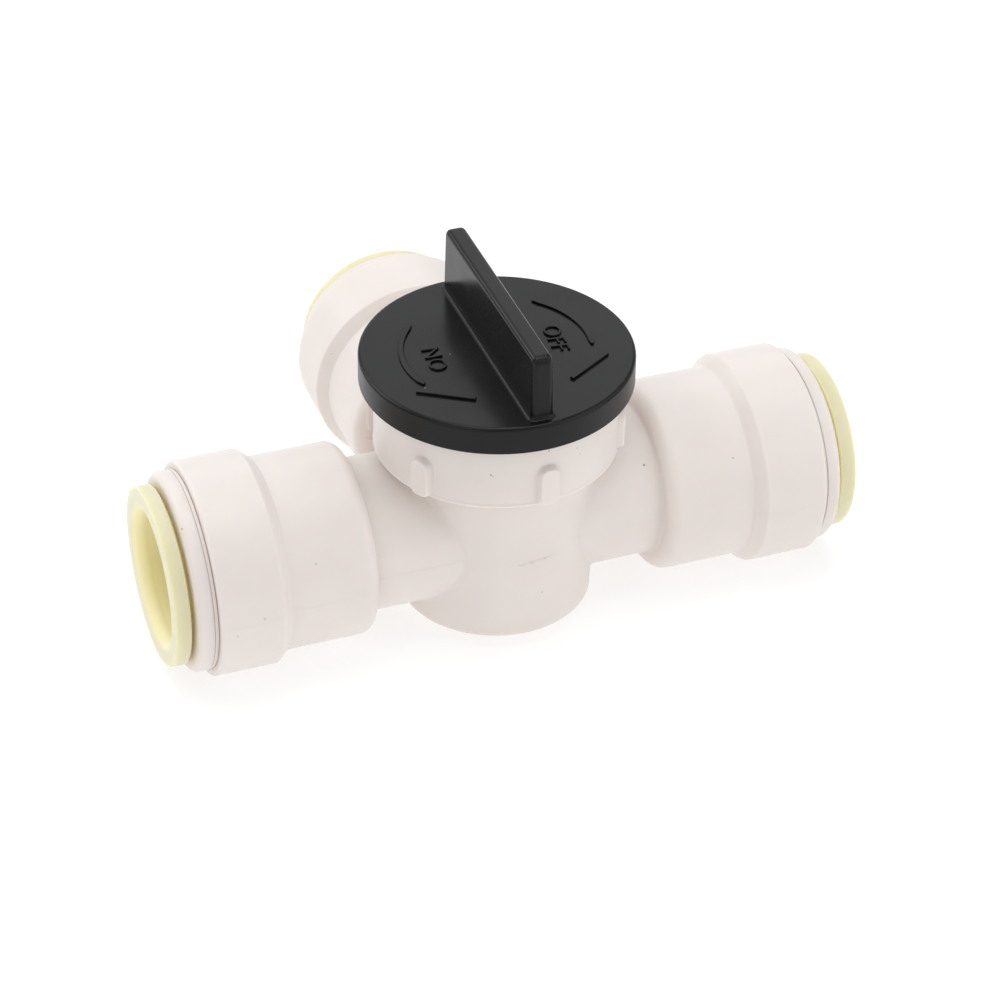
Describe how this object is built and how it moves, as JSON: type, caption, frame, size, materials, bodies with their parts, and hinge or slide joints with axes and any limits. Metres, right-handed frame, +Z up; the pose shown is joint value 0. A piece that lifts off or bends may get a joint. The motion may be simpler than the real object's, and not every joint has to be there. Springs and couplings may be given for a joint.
{
  "type": "three-way bypass valve",
  "caption": "T-shaped push-fit bypass valve: white plastic body, ribbed bonnet nut, round black quarter-turn knob with a grip blade, and a cream release collet in each tube socket.",
  "frame": {"origin": "centre of the body's flat underside, on the knob's axis", "axes": "+X along the through run towards the right socket, +Y towards the branch socket, +Z up the knob's axis"},
  "size_m": [0.0928, 0.064, 0.0472],
  "materials": {
    "white_plastic": "satin moulded white with a slight warm tint",
    "collet_plastic": "satin moulded cream yellow, slightly translucent",
    "knob_plastic": "satin moulded black",
    "rotor_plastic": "moulded acetal, light grey",
    "spacer_plastic": "moulded acetal, natural white",
    "washer_plastic": "skived low-friction plastic",
    "seal_rubber": "moulded black rubber",
    "grab_steel": "stamped stainless spring steel"
  },
  "bodies": {
    "housing": {"valve_body": "white_plastic", "bonnet_nut": "white_plastic", "thrust_washer": "washer_plastic", "seat_seal_right": "seal_rubber", "tube_seal_right": "seal_rubber", "spacer_right": "spacer_plastic", "grab_ring_right": "grab_steel", "retainer_cap_right": "white_plastic", "seat_seal_branch": "seal_rubber", "tube_seal_branch": "seal_rubber", "spacer_branch": "spacer_plastic", "grab_ring_branch": "grab_steel", "retainer_cap_branch": "white_plastic", "seat_seal_left": "seal_rubber", "tube_seal_left": "seal_rubber", "spacer_left": "spacer_plastic", "grab_ring_left": "grab_steel", "retainer_cap_left": "white_plastic"},
    "turning_knob": {"knob": "knob_plastic", "rotor": "rotor_plastic", "stem_seal_lower": "seal_rubber", "stem_seal_upper": "seal_rubber"},
    "right_collet": {"collet_right": "collet_plastic"},
    "branch_collet": {"collet_branch": "collet_plastic"},
    "left_collet": {"collet_left": "collet_plastic"}
  },
  "joints": [
    {"name": "knob_turn", "type": "hinge", "parent": "housing", "child": "turning_knob", "pos_m": [0, 0, 0.03], "axis": [0, 0, 1], "range_deg": [0, 90]},
    {"name": "right_collet_slide", "type": "slide", "parent": "housing", "child": "right_collet", "axis": [1, 0, 0], "range_m": [-0.0005, 0.001]},
    {"name": "branch_collet_slide", "type": "slide", "parent": "housing", "child": "branch_collet", "axis": [0, 1, 0], "range_m": [-0.0005, 0.001]},
    {"name": "left_collet_slide", "type": "slide", "parent": "housing", "child": "left_collet", "axis": [-1, 0, 0], "range_m": [-0.0005, 0.001]}
  ]
}
